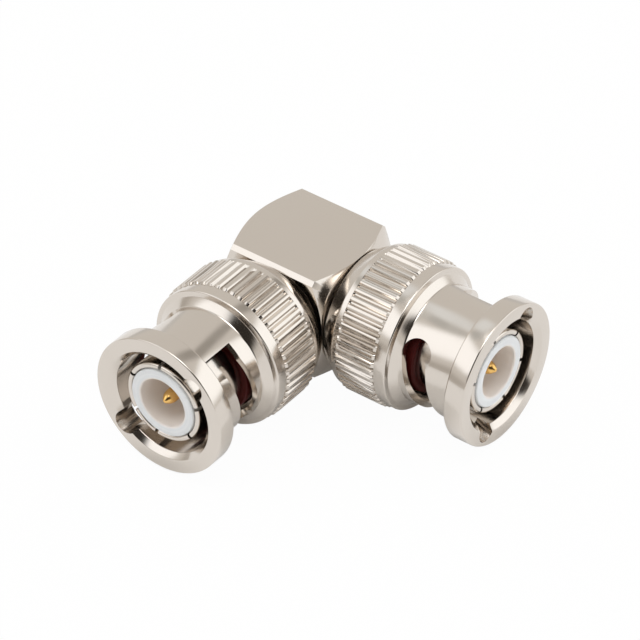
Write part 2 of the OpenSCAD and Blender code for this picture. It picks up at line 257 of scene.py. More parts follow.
def ease_edges(piece: Piece, width: float, angle: float) -> None:
    """Rounds the sharp edges of a piece a little, so that they catch the light.

    Args:
        piece: The piece, in millimetres.
        width: Width of the rounding.
        angle: Edges that turn by more than this many degrees are rounded.
    """
    bm = bmesh.new()
    bm.from_mesh(piece.data)
    sharp = [
        edge for edge in bm.edges
        if edge.is_manifold and edge.calc_face_angle() > math.radians(angle)
    ]
    bmesh.ops.bevel(
        bm, geom=sharp, offset=width, offset_type="OFFSET", affect="EDGES",
        segments=EASE_FACETS, profile=0.5, material=-1, clamp_overlap=True,
    )
    bm.to_mesh(piece.data)
    bm.free()


def linear(hex_colour: str) -> tuple[float, float, float, float]:
    """Turns an sRGB hex colour to linear.

    Args:
        hex_colour: Six hex digits after a hash.

    Returns:
        Linear red, green, blue and an alpha of one.
    """
    parts = [int(hex_colour[i:i + 2], 16) / 255 for i in (1, 3, 5)]
    red, green, blue = (c / 12.92 if c <= 0.04045 else ((c + 0.055) / 1.055) ** 2.4 for c in parts)
    return red, green, blue, 1.0


def add_node(
    tree: Tree, kind: str, inputs: dict[Any, Any] | None = None, **settings: Any
) -> bpy.types.Node:
    """Adds a node with its settings and links.

    Args:
        tree: The node tree.
        kind: Blender's name for the type of node.
        inputs: Values of its inputs, or the output sockets that feed them, by name or number.
        settings: Properties of the node.

    Returns:
        The new node.
    """
    node = tree.nodes.new(kind)
    for name, value in settings.items():
        setattr(node, name, value)
    for key, value in (inputs or {}).items():
        if isinstance(value, Socket):
            tree.links.new(value, node.inputs[key])
        else:
            node.inputs[key].default_value = value
    return node


def new_material(name: str) -> tuple[Material, Tree]:
    """Makes an empty node material.

    Args:
        name: Name of the material.

    Returns:
        The material and its node tree.
    """
    material = bpy.data.materials.new(name)
    material.use_nodes = True
    material.node_tree.nodes.clear()
    return material, material.node_tree


def object_place(tree: Tree) -> Socket:
    """Gives a pattern the piece's own coordinates, in metres."""
    return add_node(tree, "ShaderNodeTexCoord").outputs["Object"]


def lathe_coordinates(tree: Tree, port: Port) -> Socket:
    """Gives a pattern the coordinates that a lathe tool leaves: radius and height on the axis.

    Args:
        tree: The material's node tree.
        port: The port whose axis the piece was turned on.

    Returns:
        A vector of radius, height and zero, in metres.
    """
    local = add_node(
        tree, "ShaderNodeMapping", vector_type="TEXTURE",
        inputs={
            "Vector": object_place(tree), "Location": port.crossing, "Rotation": port.turn,
        },
    )
    axes = add_node(tree, "ShaderNodeSeparateXYZ", {0: local.outputs[0]})
    across = add_node(tree, "ShaderNodeCombineXYZ", {0: axes.outputs[0], 1: axes.outputs[1]})
    radius = add_node(tree, "ShaderNodeVectorMath", {0: across.outputs[0]}, operation="LENGTH")
    turned = add_node(
        tree, "ShaderNodeCombineXYZ", {0: radius.outputs["Value"], 1: axes.outputs[2]}
    )
    return turned.outputs[0]


def made_once(name: str, shade: Callable[[Tree], dict[str, Any]]) -> Material:
    """Makes a material the first time that it is asked for.

    Args:
        name: Name of the material.
        shade: Adds the pattern's nodes to a tree and gives the inputs of its shader.

    Returns:
        The material.
    """
    if name not in bpy.data.materials:
        _, tree = new_material(name)
        shader = add_node(tree, "ShaderNodeBsdfPrincipled", shade(tree))
        add_node(tree, "ShaderNodeOutputMaterial", {0: shader.outputs[0]})
    return bpy.data.materials[name]


def speckle(tree: Tree, place: Socket, size: float, **settings: Any) -> Socket:
    """Adds a noise pattern of a real size.

    Args:
        tree: The material's node tree.
        place: Coordinates in metres.
        size: Size of the pattern in millimetres.
        settings: Other inputs and properties of the noise.

    Returns:
        The pattern, from zero to one.
    """
    inputs = {key: settings.pop(key) for key in ("Detail", "Distortion") if key in settings}
    inputs |= {"Vector": place, "Scale": 1 / (size * MM)}
    return add_node(tree, "ShaderNodeTexNoise", inputs, **settings).outputs[0]


def tint(tree: Tree, share: Socket, first: Any, second: Any) -> Socket:
    """Mixes two colours.

    Args:
        tree: The material's node tree.
        share: Share of the second colour.
        first: A linear colour or a socket.
        second: A linear colour or a socket.

    Returns:
        The mixed colour.
    """
    mixed = add_node(tree, "ShaderNodeMix", {0: share, 6: first, 7: second}, data_type="RGBA")
    return mixed.outputs[2]


def relief(tree: Tree, pattern: Socket, height: float) -> Socket:
    """Turns a pattern into small hills.

    Args:
        tree: The material's node tree.
        pattern: The pattern.
        height: Height of the hills in millimetres.

    Returns:
        The normal.
    """
    inputs = {"Strength": 1.0, "Distance": height * MM, "Height": pattern}
    return add_node(tree, "ShaderNodeBump", inputs).outputs[0]


@dataclass(frozen=True)
class NickelPlate:
    """Bright nickel plated over turned or milled brass.

    The plating is a warm silver mirror. It keeps the fine tool lines of the brass under it, which
    draw out the highlights across the lines, and handling leaves faint dull patches.

    Attributes:
        colour: Reflectance of the plating.
        roughness: Roughness of the clean plating.
        dulling: What the dull patches add to the roughness.
        dull_from: Level of the pattern at which a dull patch starts.
        dull_full: Level of the pattern at which it is fully dull.
        tool_line: Spacing of the tool lines in millimetres. Real ones are about 0.05 mm apart, too
            fine to show in the render, so they are drawn three times as coarse.
        line_height: Height of the tool lines in millimetres.
        smudge: Size of the dull patches in millimetres.
    """

    colour: str = "#D8D0C7"
    roughness: float = 0.13
    dulling: float = 0.08
    dull_from: float = 0.45
    dull_full: float = 0.75
    tool_line: float = 0.15
    line_height: float = 0.0016
    smudge: float = 2.5

    def shade(self, tree: Tree, port: Port) -> dict[str, Any]:
        """Adds the tool lines and dull patches.

        Args:
            tree: The material's node tree.
            port: The port whose axis the piece was turned on.

        Returns:
            Inputs of the shader.
        """
        turned = lathe_coordinates(tree, port)
        lines = speckle(tree, turned, self.tool_line, Detail=2.0, noise_dimensions="2D")
        patches = speckle(tree, object_place(tree), self.smudge, Detail=3.0)
        dull = add_node(
            tree, "ShaderNodeMapRange",
            inputs={
                0: patches, 1: self.dull_from, 2: self.dull_full,
                3: self.roughness, 4: self.roughness + self.dulling,
            },
        )
        return {
            "Base Color": linear(self.colour), "Metallic": 1.0, "Roughness": dull.outputs[0],
            "Normal": relief(tree, lines, self.line_height),
        }

    def material(self, port: Port) -> Material:
        """Makes the plating with tool lines round a port's axis."""
        return made_once(f"nickel_plated_brass_{port.value}", lambda tree: self.shade(tree, port))


@dataclass(frozen=True)
class GoldPlate:
    """Hard gold plated over a turned brass pin: a deep yellow mirror, paler where it is rubbed.

    Attributes:
        colour: Reflectance of the gold.
        worn: Reflectance where the gold is rubbed thin.
        roughness: Roughness of the plating.
        dulling: What rubbing adds to the roughness.
        rub: Size of the rubbed patches in millimetres.
    """

    colour: str = "#F2C068"
    worn: str = "#E6BE7E"
    roughness: float = 0.17
    dulling: float = 0.1
    rub: float = 0.6

    def shade(self, tree: Tree) -> dict[str, Any]:
        """Adds the rubbed patches.

        Args:
            tree: The material's node tree.

        Returns:
            Inputs of the shader.
        """
        rubbed = speckle(tree, object_place(tree), self.rub, Detail=3.0)
        dull = add_node(
            tree, "ShaderNodeMapRange",
            {0: rubbed, 3: self.roughness, 4: self.roughness + self.dulling},
        )
        return {
            "Base Color": tint(tree, rubbed, linear(self.colour), linear(self.worn)),
            "Metallic": 1.0, "Roughness": dull.outputs[0],
        }

    def material(self) -> Material:
        """Makes the gold plating."""
        return made_once("gold_plated_brass", self.shade)


@dataclass(frozen=True)
class TurnedPtfe:
    """Turned PTFE: a waxy cool white with a low sheen, faint tool rings and soft edges.

    Attributes:
        colour: Colour of the plastic.
        ring: Colour in the tool rings.
        bore: Colour inside the bore: painted warm light, standing in for light that has gone
            through more of the plastic there.
        bore_radius: Radius of the bore in millimetres.
        bore_fade: Distance in millimetres over which the bore's painted warm light fades.
        roughness: Roughness of the turned face.
        ior: Refractive index of the plastic.
        tool_line: Spacing of the tool rings in millimetres.
        ring_height: Height of the tool rings in millimetres.
        glow: Depth in millimetres that light goes into the plastic.
        glow_share: Share of the light that does so.
    """

    colour: str = "#F8FAFC"
    ring: str = "#ECEFF2"
    bore: str = "#F7F0EA"
    bore_radius: float = 2.6
    bore_fade: float = 0.2
    roughness: float = 0.38
    ior: float = 1.35
    tool_line: float = 0.22
    ring_height: float = 0.002
    glow: float = 0.5
    glow_share: float = 0.12

    def shade(self, tree: Tree, port: Port) -> dict[str, Any]:
        """Adds the tool rings and the painted warm light in the bore.

        Args:
            tree: The material's node tree.
            port: The port whose axis the piece was turned on.

        Returns:
            Inputs of the shader.
        """
        turned = lathe_coordinates(tree, port)
        rings = speckle(tree, turned, self.tool_line, Detail=2.0, noise_dimensions="2D")
        face = tint(tree, rings, linear(self.colour), linear(self.ring))
        radius = add_node(tree, "ShaderNodeSeparateXYZ", {0: turned})
        fade_end = self.bore_radius + self.bore_fade
        # Mask of the painted warm light: zero in the bore, one on the face past the fade.
        outside = add_node(
            tree, "ShaderNodeMapRange",
            {0: radius.outputs[0], 1: self.bore_radius * MM, 2: fade_end * MM},
        )
        return {
            "Base Color": tint(tree, outside.outputs[0], linear(self.bore), face),
            "Roughness": self.roughness, "IOR": self.ior,
            "Subsurface Weight": self.glow_share, "Subsurface Radius": (1.0, 1.0, 1.0),
            "Subsurface Scale": self.glow * MM, "Normal": relief(tree, rings, self.ring_height),
        }

    def material(self, port: Port) -> Material:
        """Makes the plastic with tool rings round a port's axis."""
        return made_once(f"turned_ptfe_{port.value}", lambda tree: self.shade(tree, port))


@dataclass(frozen=True)
class RedSilicone:
    """Moulded silicone rubber: a dull dark red with a low sheen and a fine dusty grain.

    Attributes:
        colour: Colour of the rubber.
        dust: Colour where dust clings to it.
        grain: Size of the grain in millimetres.
        grain_height: Height of the grain in millimetres.
        roughness: Roughness of the moulded skin.
        ior: Refractive index of the rubber.
        sheen: Strength of its mirror light, which the dust keeps low.
    """

    colour: str = "#420906"
    dust: str = "#4A0F0B"
    grain: float = 0.12
    grain_height: float = 0.01
    roughness: float = 0.5
    ior: float = 1.41
    sheen: float = 0.2

    def shade(self, tree: Tree) -> dict[str, Any]:
        """Adds the dusty grain.

        Args:
            tree: The material's node tree.

        Returns:
            Inputs of the shader.
        """
        grain = speckle(tree, object_place(tree), self.grain, Detail=2.0)
        return {
            "Base Color": tint(tree, grain, linear(self.colour), linear(self.dust)),
            "Roughness": self.roughness, "IOR": self.ior, "Specular IOR Level": self.sheen,
            "Normal": relief(tree, grain, self.grain_height),
        }

    def material(self) -> Material:
        """Makes the rubber."""
        return made_once("red_silicone_rubber", self.shade)


@dataclass(frozen=True)
class SpringSteel:
    """Stamped spring steel: a dark satin grey with the fine scratches of tumbling.

    Attributes:
        colour: Reflectance of the steel.
        scratch: Spacing of the scratches in millimetres.
        stray: How far the scratches stray from their line.
        smooth: Roughness between the scratches.
        rough: Roughness in the scratches.
    """

    colour: str = "#A8A6A2"
    scratch: float = 0.3
    stray: float = 1.5
    smooth: float = 0.24
    rough: float = 0.42

    def shade(self, tree: Tree) -> dict[str, Any]:
        """Adds the scratches.

        Args:
            tree: The material's node tree.

        Returns:
            Inputs of the shader.
        """
        scratches = speckle(tree, object_place(tree), self.scratch, Distortion=self.stray)
        dull = add_node(
            tree, "ShaderNodeMapRange", {0: scratches, 3: self.smooth, 4: self.rough}
        )
        return {
            "Base Color": linear(self.colour), "Metallic": 1.0, "Roughness": dull.outputs[0],
        }

    def material(self) -> Material:
        """Makes the steel."""
        return made_once("tumbled_spring_steel", self.shade)


def dress(
    piece: Piece, place: Matrix, material: Material, body: str, node: str
) -> Piece:
    """Moves a finished piece to its place, shades it and ties it to the frame.

    Args:
        piece: The piece, in millimetres.
        place: Takes its millimetres to metres in the frame.
        material: Its finish.
        body: The body that it rides on.
        node: The CAD node that it stands for.

    Returns:
        The piece.
    """
    mesh = piece.data
    mesh.transform(place)
    mesh.shade_smooth()
    mesh.set_sharp_from_angle(angle=math.radians(CREASE))
    mesh.materials.clear()
    mesh.materials.append(material)
    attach(piece, body)
    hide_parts(node)
    log.info("%s: %d faces on %s", piece.name, len(mesh.polygons), body)
    return piece


@dataclass
class CouplingNut:
    """Knurled nut with a bayonet ring and two cam slots. Heights are from its rear face.

    Attributes:
        port: The port that it turns on.
        turn: Turn from the top to its entry notch, clockwise as seen from its mouth, in degrees.
    """

    port: Port
    turn: float
    plate: NickelPlate = field(default_factory=NickelPlate)
    rear_radius: float = 6.1
    rear_bore: float = 5.25
    rear_recess: float = 1.7
    lip_bore: float = 4.25
    lip_front: float = 4.9
    cone_end: float = 1.7
    band_radius: float = 7.25
    knurl_start: float = 2.2
    knurl_end: float = 6.6
    knurl_radius: float = 7.5
    knurl_depth: float = 0.38
    knurl_chamfer: float = 0.18
    knurl_count: int = 52
    knurl_columns: int = 14
    crest_half: float = 0.185
    flank_width: float = 0.25
    crown: float = 0.03
    collar_front: float = 7.8
    step_radius: float = 6.7
    step_front: float = 7.9
    barrel_radius: float = 5.95
    barrel_start: float = 8.55
    ring_back: float = 14.55
    ring_radius: float = 7.25
    recess_radius: float = 5.3
    recess_back: float = 8.3
    mouth_cone: float = 0.55
    bore: float = 4.93
    length: float = 16.6
    notch_width: float = 2.4
    notch_wall: float = 0.5
    ramp: float = 17.0
    cam_middle: float = 11.47
    cam_width: float = 2.64
    cam_draw: float = 1.6
    cam_sweep: float = 86.0
    detent_radius: float = 1.55
    detent_height: float = 10.1
    cam_steps: int = 40
    dwell_steps: int = 8
    overlap: float = 0.1
    shy: float = 0.01
    fine_edge: float = 0.05
    edge: float = 0.06
    mouth_edge: float = 0.07
    rear_bore_edge: float = 0.08
    band_edge: float = 0.1
    soft_edge: float = 0.12
    collar_edge: float = 0.13
    ring_edge: float = 0.14

    def profile(self) -> list[Corner]:
        """Draws the turned blank, with the knurl still a plain band.

        Returns:
            The corners, from the rear bore round the outside and back through the mouth.
        """
        chamfer = self.knurl_chamfer
        return [
            Corner(self.rear_bore, 0.0, self.rear_bore_edge),
            Corner(self.rear_radius, 0.0, self.soft_edge),
            Corner(self.band_radius, self.cone_end, self.band_edge),
            Corner(self.band_radius, self.knurl_start),
            Corner(self.knurl_radius, self.knurl_start + chamfer),
            Corner(self.knurl_radius, self.knurl_end - chamfer),
            Corner(self.band_radius, self.knurl_end),
            Corner(self.band_radius, self.collar_front, self.collar_edge),
            Corner(self.step_radius, self.step_front, self.fine_edge),
            Corner(self.barrel_radius, self.barrel_start, self.soft_edge),
            Corner(self.barrel_radius, self.ring_back, self.edge),
            Corner(self.ring_radius, self.ring_back, self.ring_edge),
            Corner(self.ring_radius, self.length, self.ring_edge),
            Corner(self.recess_radius + self.mouth_cone, self.length, self.mouth_edge),
            Corner(self.recess_radius, self.length - self.mouth_cone, self.fine_edge),
            Corner(self.recess_radius, self.recess_back, self.edge),
            Corner(self.bore, self.recess_back, self.mouth_edge),
            Corner(self.bore, self.lip_front),
            Corner(self.lip_bore, self.lip_front, self.edge),
            Corner(self.lip_bore, self.rear_recess, self.edge),
            Corner(self.rear_bore, self.rear_recess),
        ]

    def press_knurl(self, bm: Solid) -> None:
        """Presses the grooves of the knurl into the plain band.

        Args:
            bm: The turned blank.
        """
        for vert in bm.verts:
            radius = vert.co.xy.length
            if radius < self.knurl_radius - WELD:
                continue
            share = math.atan2(vert.co.x, vert.co.y) / math.tau * self.knurl_count % 1.0
            aside = min(share, 1.0 - share)
            flank = min(max((aside - self.crest_half) / self.flank_width, 0.0), 1.0)
            depth = self.knurl_depth * flank * flank * (3.0 - 2.0 * flank)
            crown = self.crown * min(aside / self.crest_half, 1.0) ** 2
            vert.co.xy *= 1.0 - max(depth, crown) / radius

    def cam_tool(self) -> Solid:
        """Sweeps the milling cutter along the helical cam slot, from its entry to its end.

        Returns:
            The room that the cutter clears.
        """
        inner, outer = self.bore - PAST, self.barrel_radius + PAST
        entry = math.asin(self.notch_width / 2 / self.barrel_radius)
        dwell = entry / 2
        bm = bmesh.new()
        half = self.cam_width / 2
        section = [(inner, -half), (outer, -half), (outer, half), (inner, half)]
        face = bm.faces.new([bm.verts.new((0.0, r, self.cam_middle + z)) for r, z in section])
        bmesh.ops.rotate(
            bm, verts=bm.verts[:], cent=(0, 0, 0), matrix=Matrix.Rotation(entry, 3, "Z")
        )
        level = bmesh.ops.spin(
            bm, geom=[face], cent=(0, 0, 0), axis=(0, 0, 1), angle=-entry - dwell,
            steps=self.dwell_steps, use_merge=False, use_duplicate=False,
        )
        bmesh.ops.spin(
            bm, geom=level["geom_last"], cent=(0, 0, 0), axis=(0, 0, 1),
            angle=dwell - math.radians(self.cam_sweep),
            dvec=(0, 0, -self.cam_draw / self.cam_steps),
            steps=self.cam_steps, use_merge=False, use_duplicate=False,
        )
        bmesh.ops.recalc_face_normals(bm, faces=bm.faces[:])
        return bm

    def tools(self) -> list[Solid]:
        """Makes the cutters of one entry notch, its cam slot and its detent hole.

        Returns:
            The cutters, with the notch at the top.
        """
        half = self.notch_width / 2
        middle = self.ring_radius - self.notch_wall - half
        reach = self.barrel_radius + self.overlap
        leg_end = self.ring_back + self.overlap
        ramp = (
            Matrix.Translation((0, middle, self.length))
            @ Matrix.Rotation(-math.radians(self.ramp), 4, "X")
        )
        detent = (
            Matrix.Rotation(-math.radians(self.cam_sweep), 4, "Z")
            @ Matrix.Translation((0, 0, self.detent_height))
            @ Matrix.Rotation(-math.pi / 2, 4, "X")
        )
        run = self.length - self.ring_back + PAST
        mill = saw_block((self.shy - half, -middle, -run), (half - self.shy, 0, PAST))
        bmesh.ops.transform(mill, matrix=ramp, verts=mill.verts[:])
        return [
            self.cam_tool(),
            saw_block((-half, 0, self.cam_middle), (half, reach, leg_end)),
            mill,
            drill(half, run + PAST, ramp @ Matrix.Translation((0, 0, -run))),
            drill(self.detent_radius, self.barrel_radius + PAST, detent),
        ]

    def build(self) -> Piece:
        """Turns, knurls and slots the nut.

        Returns:
            The finished nut.
        """
        bm = turn_profile(self.profile(), self.knurl_count * self.knurl_columns)
        self.press_knurl(bm)
        nut = add_object(f"{self.port.value}_knurled_nut", bm)
        for half_turn in (0.0, 180.0):
            spin = Matrix.Rotation(math.radians(half_turn - self.turn), 4, "Z")
            for tool in self.tools():
                bmesh.ops.transform(tool, matrix=spin, verts=tool.verts[:])
                carve(nut, tool)
        node = self.port.node("coupling_nut")
        place = self.port.matrix @ Matrix.Translation((0, 0, self.port.reach(node)[0]))
        plate = self.plate.material(self.port)
        return dress(nut, place, plate, self.port.nut_body, node)


@dataclass
class PlugCore:
    """Sleeve, insulator, pin and gasket of a port. Heights are from the sleeve's shoulder.

    Attributes:
        port: The port that they sit in.
        slits: Sawn slits of the sleeve, clockwise from the top as seen from its mouth, in degrees.
    """

    port: Port
    slits: tuple[float, ...]
    plate: NickelPlate = field(default_factory=NickelPlate)
    gold: GoldPlate = field(default_factory=GoldPlate)
    ptfe: TurnedPtfe = field(default_factory=TurnedPtfe)
    silicone: RedSilicone = field(default_factory=RedSilicone)
    spigot_length: float = 2.05
    spigot_radius: float = 3.6
    spigot_bore: float = 2.9
    neck_radius: float = 4.15
    groove_radius: float = 3.85
    groove_back: float = 1.55
    groove_front: float = 2.21
    flange_back: float = 7.85
    flange_front: float = 8.95
    flange_radius: float = 4.83
    seat_radius: float = 4.05
    seat_front: float = 10.12
    contact_radius: float = 4.25
    contact_bore: float = 3.65
    lip_front: float = 16.52
    slit_width: float = 0.34
    slit_length: float = 3.2
    insulator_back: float = 5.27
    insulator_front: float = 16.57
    insulator_radius: float = 3.61
    mouth_radius: float = 2.55
    mouth_floor: float = 10.17
    root_hole: float = 0.89
    pin_radius: float = 0.675
    pin_root: float = 0.85
    pin_tip: float = 16.27
    pin_tip_radius: float = 0.14
    pin_taper: float = 0.85
    pin_swell: float = 0.51
    shoulder_radius: float = 1.3
    shoulder_front: float = 5.25
    shoulder_back: float = 4.75
    boss_radius: float = 0.95
    tail_radius: float = 0.45
    pin_facets: int = 96
    gap: float = 0.02
    gasket_front: float = 10.1
    sleeve_edge: float = 0.04
    flange_edge: float = 0.08
    lip_round: float = 0.29
    insulator_back_edge: float = 0.1
    insulator_edge: float = 0.16
    mouth_fillet: float = 0.2
    hole_edge: float = 0.06
    pin_edge: float = 0.1
    taper_round: float = 0.2
    gasket_edge: float = 0.06
    gasket_round: float = 0.18

    @property
    def seat(self) -> float:
        """Distance from the crossing to the sleeve's shoulder."""
        return self.port.reach(self.port.node("contact_sleeve"))[0] + self.spigot_length

    @property
    def place(self) -> Matrix:
        """Takes millimetres from the sleeve's shoulder to metres in the frame."""
        return self.port.matrix @ Matrix.Translation((0, 0, self.seat))

    def sleeve(self) -> Piece:
        """Turns the sleeve and saws its slits.

        Returns:
            The finished sleeve.
        """
        corners = [
            Corner(self.spigot_bore, -self.spigot_length),
            Corner(self.spigot_radius, -self.spigot_length),
            Corner(self.spigot_radius, 0.0),
            Corner(self.neck_radius, 0.0),
            Corner(self.neck_radius, self.groove_back, self.sleeve_edge),
            Corner(self.groove_radius, self.groove_back),
            Corner(self.groove_radius, self.groove_front),
            Corner(self.neck_radius, self.groove_front, self.sleeve_edge),
            Corner(self.neck_radius, self.flange_back),
            Corner(self.flange_radius, self.flange_back, self.flange_edge),
            Corner(self.flange_radius, self.flange_front, self.flange_edge),
            Corner(self.seat_radius, self.flange_front),
            Corner(self.seat_radius, self.seat_front),
            Corner(self.contact_radius, self.seat_front, self.sleeve_edge),
            Corner(self.contact_radius, self.lip_front, self.lip_round),
            Corner(self.contact_bore, self.lip_front, self.lip_round),
            Corner(self.contact_bore, self.insulator_back),
            Corner(self.spigot_bore, self.insulator_back),
        ]
        sleeve = add_object(f"{self.port.value}_slotted_sleeve", turn_profile(corners))
        half = self.slit_width / 2
        for slit in self.slits:
            saw = saw_block(
                (-half, 0, self.lip_front - self.slit_length),
                (half, self.contact_radius + PAST, self.lip_front + PAST),
            )
            spin = Matrix.Rotation(-math.radians(slit), 4, "Z")
            bmesh.ops.transform(saw, matrix=spin, verts=saw.verts[:])
            carve(sleeve, saw)
        plate = self.plate.material(self.port)
        node = self.port.node("contact_sleeve")
        return dress(sleeve, self.place, plate, "root", node)

    def insulator(self) -> Piece:
        """Turns the insulator.

        Returns:
            The finished insulator.
        """
        corners = [
            Corner(self.root_hole, self.insulator_back),
            Corner(self.insulator_radius, self.insulator_back, self.insulator_back_edge),
            Corner(self.insulator_radius, self.insulator_front, self.insulator_edge),
            Corner(self.mouth_radius, self.insulator_front, self.insulator_edge),
            Corner(self.mouth_radius, self.mouth_floor, self.mouth_fillet),
            Corner(self.root_hole, self.mouth_floor, self.hole_edge),
        ]
        insulator = add_object(f"{self.port.value}_ptfe_insulator", turn_profile(corners))
        ptfe = self.ptfe.material(self.port)
        node = self.port.node("insulator")
        return dress(insulator, self.place, ptfe, "root", node)

    def pin(self) -> Piece:
        """Turns the pin, from its tail or boss in the corner to its tapered tip.

        Returns:
            The finished pin.
        """
        corner = -self.seat
        boss = self.boss_radius
        if self.port is Port.FRONT:
            root = corner + boss + self.gap
            back = [
                Corner(0.0, corner - boss),
                Corner(self.tail_radius, corner - boss, self.pin_edge),
                Corner(self.tail_radius, root),
                Corner(self.pin_root, root),
            ]
        else:
            back = [
                Corner(0.0, corner - boss),
                Corner(boss, corner - boss, self.pin_edge),
                Corner(boss, corner + boss, self.pin_edge),
                Corner(self.pin_root, corner + boss),
            ]
        corners = back + [
            Corner(self.pin_root, self.shoulder_back),
            Corner(self.shoulder_radius, self.shoulder_back),
            Corner(self.shoulder_radius, self.shoulder_front),
            Corner(self.pin_root, self.shoulder_front),
            Corner(self.pin_root, self.mouth_floor, self.pin_edge),
            Corner(self.pin_radius, self.mouth_floor),
            Corner(self.pin_radius, self.pin_tip - self.pin_taper, self.taper_round),
            Corner(self.pin_swell, self.pin_tip - self.pin_taper / 2, self.taper_round),
            Corner(self.pin_tip_radius, self.pin_tip, self.pin_edge),
            Corner(0.0, self.pin_tip),
        ]
        pin = add_object(f"{self.port.value}_gold_pin", turn_profile(corners, self.pin_facets))
        if self.port is Port.SIDE:
            across = Matrix.Translation((0, 0, corner)) @ Matrix.Rotation(math.pi / 2, 4, "Y")
            start = across @ Matrix.Translation((0, 0, -boss - PAST))
            carve(pin, drill(self.tail_radius + self.gap, 2 * (boss + PAST), start))
        node = self.port.node("pin")
        return dress(pin, self.place, self.gold.material(), "root", node)

    def gasket(self) -> Piece:
        """Moulds the gasket that the mating jack presses on.

        Returns:
            The finished gasket.
        """
        inner, outer = self.seat_radius + self.gap, self.flange_radius
        corners = [
            Corner(inner, self.flange_front, self.gasket_edge),
            Corner(outer, self.flange_front, self.gasket_edge),
            Corner(outer, self.gasket_front, self.gasket_round),
            Corner(inner, self.gasket_front, self.gasket_round),
        ]
        gasket = add_object(f"{self.port.value}_silicone_gasket", turn_profile(corners))
        node = self.port.node("gasket")
        return dress(gasket, self.place, self.silicone.material(), "root", node)

    def build(self) -> None:
        """Builds the four pieces."""
        self.sleeve()
        self.insulator()
        self.pin()
        self.gasket()


@dataclass
class ElbowBlock:
    """Square bar along the side port that both sleeves are pressed into, with its end cap."""

    plate: NickelPlate = field(default_factory=NickelPlate)
    side: float = 11.6
    length: float = 12.0
    edge_chamfer: float = 0.42
    end_angle: float = 30.0
    front_seat: float = 5.8
    side_seat: float = 5.6
    neck_hole: float = 4.17
    spigot_hole: float = 3.62
    spigot_depth: float = 2.07
    bore: float = 2.9
    cap_radius: float = 3.9
    cap_thickness: float = 1.0
    cap_edge: float = 0.14
    cap_back_edge: float = 0.05
    edge_round: float = 0.07
    edge_angle: float = 20.0
    cone_facets: int = 256
    bore_facets: int = 128
    gap: float = 0.02

    def cone_tool(self) -> Solid:
        """Turns the solid that trims both ends of the bar to a cone.

        Returns:
            The solid, along the bar.
        """
        half, end = self.side / 2, self.length / 2
        reach = half * math.sqrt(2)
        run = (reach - half) * math.tan(math.radians(self.end_angle))
        return turn_profile(
            [
                Corner(0.0, -end),
                Corner(half, -end),
                Corner(reach, run - end),
                Corner(reach, end - run),
                Corner(half, end),
                Corner(0.0, end),
            ],
            self.cone_facets,
        )

    def side_bore(self) -> Solid:
        """Turns the tool of the stepped bore along the bar.

        Returns:
            The tool.
        """
        end = self.length / 2
        return turn_profile(
            [
                Corner(0.0, -end - PAST),
                Corner(self.cap_radius, -end - PAST),
                Corner(self.cap_radius, self.cap_thickness - end),
                Corner(self.bore, self.cap_thickness - end),
                Corner(self.bore, self.side_seat - self.spigot_depth),
                Corner(self.spigot_hole, self.side_seat - self.spigot_depth),
                Corner(self.spigot_hole, self.side_seat),
                Corner(self.neck_hole, self.side_seat),
                Corner(self.neck_hole, end + PAST),
                Corner(0.0, end + PAST),
            ],
            self.bore_facets,
        )

    def front_bore(self) -> Solid:
        """Turns the tool of the stepped bore from the front face to the middle of the bar.

        Returns:
            The tool, across the bar.
        """
        bore = turn_profile(
            [
                Corner(0.0, 0.0),
                Corner(self.bore, 0.0),
                Corner(self.bore, self.front_seat - self.spigot_depth),
                Corner(self.spigot_hole, self.front_seat - self.spigot_depth),
                Corner(self.spigot_hole, self.front_seat + PAST),
                Corner(0.0, self.front_seat + PAST),
            ],
            self.bore_facets,
        )
        turn = Port.SIDE.matrix.inverted() @ Port.FRONT.matrix
        bmesh.ops.transform(bore, matrix=turn, verts=bore.verts[:])
        return bore

    def bar(self) -> Piece:
        """Mills, turns and bores the bar.

        Returns:
            The finished bar.
        """
        half, end = self.side / 2, self.length / 2
        bm = saw_block((-half, -half, -end), (half, half, end))
        along = [
            edge for edge in bm.edges
            if abs(edge.verts[0].co.z - edge.verts[1].co.z) > self.length / 2
        ]
        bmesh.ops.bevel(
            bm, geom=along, offset=self.edge_chamfer, offset_type="OFFSET", affect="EDGES",
            segments=1, profile=0.5, material=-1,
        )
        bar = add_object("elbow_bar", bm)
        carve(bar, self.cone_tool(), Carve.TRIM)
        ease_edges(bar, self.edge_round, self.edge_angle)
        carve(bar, self.side_bore())
        carve(bar, self.front_bore())
        plate = self.plate.material(Port.SIDE)
        return dress(bar, Port.SIDE.matrix, plate, "root", "elbow_block")

    def cap(self) -> Piece:
        """Turns the cap that closes the end opposite the side port.

        Returns:
            The finished cap.
        """
        end = self.length / 2
        radius = self.cap_radius - self.gap
        corners = [
            Corner(0.0, -end),
            Corner(radius, -end, self.cap_edge),
            Corner(radius, self.cap_thickness - end, self.cap_back_edge),
            Corner(0.0, self.cap_thickness - end),
        ]
        cap = add_object("bar_end_cap", turn_profile(corners))
        plate = self.plate.material(Port.SIDE)
        return dress(cap, Port.SIDE.matrix, plate, "root", "end_cap")

    def build(self) -> None:
        """Builds the bar and its cap."""
        self.bar()
        self.cap()


